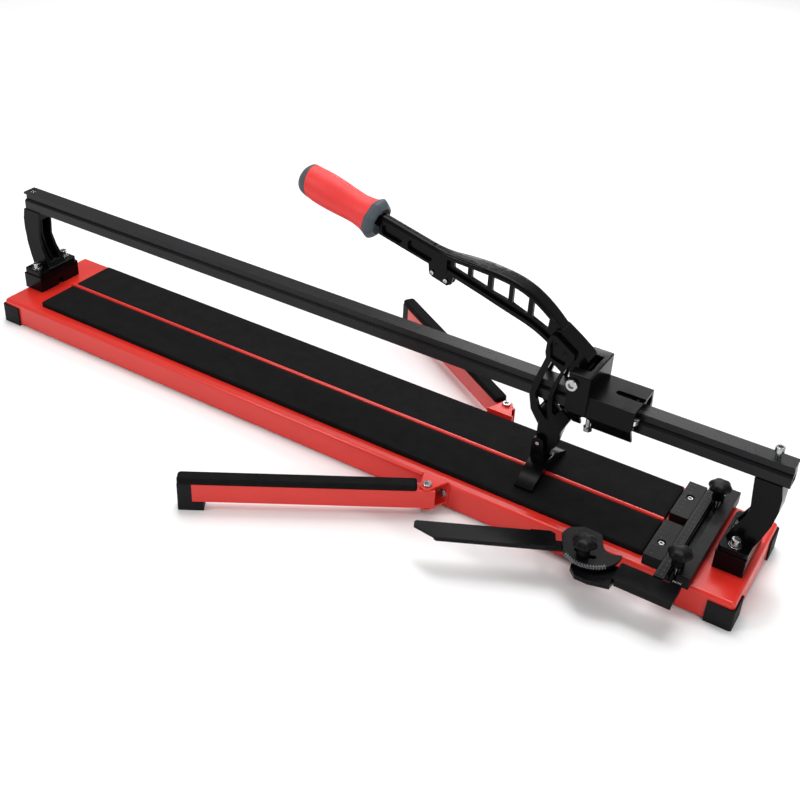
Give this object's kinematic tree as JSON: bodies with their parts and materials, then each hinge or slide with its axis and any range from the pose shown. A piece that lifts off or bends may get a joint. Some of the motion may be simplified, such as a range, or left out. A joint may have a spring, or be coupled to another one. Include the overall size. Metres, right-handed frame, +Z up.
{
  "type": "manual tile cutter",
  "caption": "Rail tile cutter: steel base with padded bed, bearing carriage, scoring lever with breaker foot, fence with angle guide, folding side arms.",
  "frame": {"origin": "on the floor under the centre of the base", "axes": "+X along the rail towards the measuring fence, +Y to the back, +Z up"},
  "size_m": [1.437, 0.6748, 0.4411],
  "materials": {
    "red_powder_coat": "gloss",
    "black_enamel": "gloss",
    "black_rail": "satin",
    "zinc_steel": "satin",
    "bearing_steel": "gloss",
    "hard_metal": "satin",
    "foam_pad": "matte",
    "foot_rubber": "matte",
    "guide_plastic": "matte",
    "knob_plastic": "matte",
    "grip_red": "matte",
    "grip_slate": "matte"
  },
  "bodies": {
    "base": {"base_tray": "red_powder_coat", "corner_feet": "foot_rubber", "breaker_ridge": "red_powder_coat", "front_pad": "foam_pad", "rear_pad": "foam_pad", "left_spacer_block": "black_enamel", "right_spacer_block": "black_enamel", "left_bracket": "black_enamel", "right_bracket": "black_enamel", "bracket_bolts": "zinc_steel", "bracket_washers": "zinc_steel", "bracket_nuts": "zinc_steel", "rail": "black_rail", "rail_end_screw": "zinc_steel", "rail_stop_bolt": "zinc_steel", "fence_channel": "guide_plastic", "fence_plates": "guide_plastic", "fence_screws": "zinc_steel", "front_hinge_bracket": "red_powder_coat", "rear_hinge_bracket": "red_powder_coat", "hinge_bracket_bolts": "zinc_steel", "arm_hinge_bolts": "zinc_steel", "arm_hinge_nuts": "zinc_steel"},
    "carriage": {"carriage_housing": "black_enamel", "bearing_axle_bolts": "zinc_steel", "bearing_spacers": "zinc_steel", "bearing_lock_nuts": "zinc_steel", "pivot_bolt": "zinc_steel", "pivot_nut": "zinc_steel", "pivot_bushes": "zinc_steel"},
    "front_left_roller": {"front_left_bearing": "bearing_steel"},
    "rear_left_roller": {"rear_left_bearing": "bearing_steel"},
    "front_right_roller": {"front_right_bearing": "bearing_steel"},
    "rear_right_roller": {"rear_right_bearing": "bearing_steel"},
    "lever": {"lever_casting": "black_enamel", "handle_grip": "grip_red", "grip_ends": "grip_slate", "wheel_clip": "black_enamel", "clip_screws": "zinc_steel", "yoke": "black_enamel", "yoke_screws": "black_enamel", "yoke_pins": "zinc_steel"},
    "scoring_wheel": {"cutting_wheel": "hard_metal"},
    "foot": {"breaker_foot": "black_enamel"},
    "measuring_slide": {"ruler_bar": "guide_plastic", "slide_head": "black_enamel", "angle_base_plate": "black_enamel", "angle_pivot_rivet": "zinc_steel"},
    "angle_guide": {"swing_blade": "black_enamel", "protractor_disc": "guide_plastic"},
    "angle_knob_body": {"angle_knob": "knob_plastic"},
    "front_knob_body": {"front_clamp_knob": "knob_plastic"},
    "rear_knob_body": {"rear_clamp_knob": "knob_plastic"},
    "front_arm": {"front_arm_tube": "red_powder_coat", "front_arm_foot": "foot_rubber", "front_arm_pad": "foam_pad"},
    "rear_arm": {"rear_arm_tube": "red_powder_coat", "rear_arm_foot": "foot_rubber", "rear_arm_pad": "foam_pad"}
  },
  "joints": [
    {"name": "carriage_slide", "type": "slide", "parent": "base", "child": "carriage", "axis": [1, 0, 0], "range_m": [-0.98, 0.175]},
    {"name": "lever_hinge", "type": "hinge", "parent": "carriage", "child": "lever", "pos_m": [0.405, 0, 0.254], "axis": [0, 1, 0], "range_deg": [0, 15]},
    {"name": "foot_pivot", "type": "hinge", "parent": "lever", "child": "foot", "pos_m": [0.354, 0, 0.113], "axis": [0, 1, 0], "range_deg": [-3.5, 3.5]},
    {"name": "scoring_wheel_spin", "type": "hinge", "parent": "lever", "child": "scoring_wheel", "pos_m": [0.3565, 0, 0.069], "axis": [0, 1, 0], "continuous": true},
    {"name": "front_arm_hinge", "type": "hinge", "parent": "base", "child": "front_arm", "pos_m": [0.234, -0.129, 0.03], "axis": [0, 0, 1], "range_deg": [-32, 57]},
    {"name": "rear_arm_hinge", "type": "hinge", "parent": "base", "child": "rear_arm", "pos_m": [0.234, 0.129, 0.03], "axis": [0, 0, 1], "range_deg": [-57, 32]},
    {"name": "measuring_slide_travel", "type": "slide", "parent": "base", "child": "measuring_slide", "axis": [0, 1, 0], "range_m": [-0.1, 0.008]},
    {"name": "angle_guide_hinge", "type": "hinge", "parent": "measuring_slide", "child": "angle_guide", "pos_m": [0.497, -0.125, 0.06], "axis": [0, 0, 1], "range_deg": [-36, 24]},
    {"name": "angle_knob_turn", "type": "hinge", "parent": "measuring_slide", "child": "angle_knob_body", "pos_m": [0.495, -0.149, 0.06], "axis": [0, 0, 1], "range_deg": [0, 360]},
    {"name": "front_clamp_knob_turn", "type": "hinge", "parent": "base", "child": "front_knob_body", "pos_m": [0.612, -0.095, 0.066], "axis": [0, 0, 1], "range_deg": [0, 360]},
    {"name": "rear_clamp_knob_turn", "type": "hinge", "parent": "base", "child": "rear_knob_body", "pos_m": [0.611, 0.078, 0.066], "axis": [0, 0, 1], "range_deg": [0, 360]},
    {"name": "front_left_roller_spin", "type": "hinge", "parent": "carriage", "child": "front_left_roller", "pos_m": [0.429, -0.0208, 0.2165], "axis": [0, 0, 1], "continuous": true},
    {"name": "front_right_roller_spin", "type": "hinge", "parent": "carriage", "child": "front_right_roller", "pos_m": [0.489, -0.0208, 0.2165], "axis": [0, 0, 1], "continuous": true},
    {"name": "rear_left_roller_spin", "type": "hinge", "parent": "carriage", "child": "rear_left_roller", "pos_m": [0.429, 0.0208, 0.2165], "axis": [0, 0, 1], "continuous": true},
    {"name": "rear_right_roller_spin", "type": "hinge", "parent": "carriage", "child": "rear_right_roller", "pos_m": [0.489, 0.0208, 0.2165], "axis": [0, 0, 1], "continuous": true}
  ],
  "couplings": [
    {"joint": "front_left_roller_spin", "follows": "carriage_slide", "rad_per_m": 80},
    {"joint": "front_right_roller_spin", "follows": "carriage_slide", "rad_per_m": 80},
    {"joint": "rear_left_roller_spin", "follows": "carriage_slide", "rad_per_m": -80},
    {"joint": "rear_right_roller_spin", "follows": "carriage_slide", "rad_per_m": -80}
  ]
}
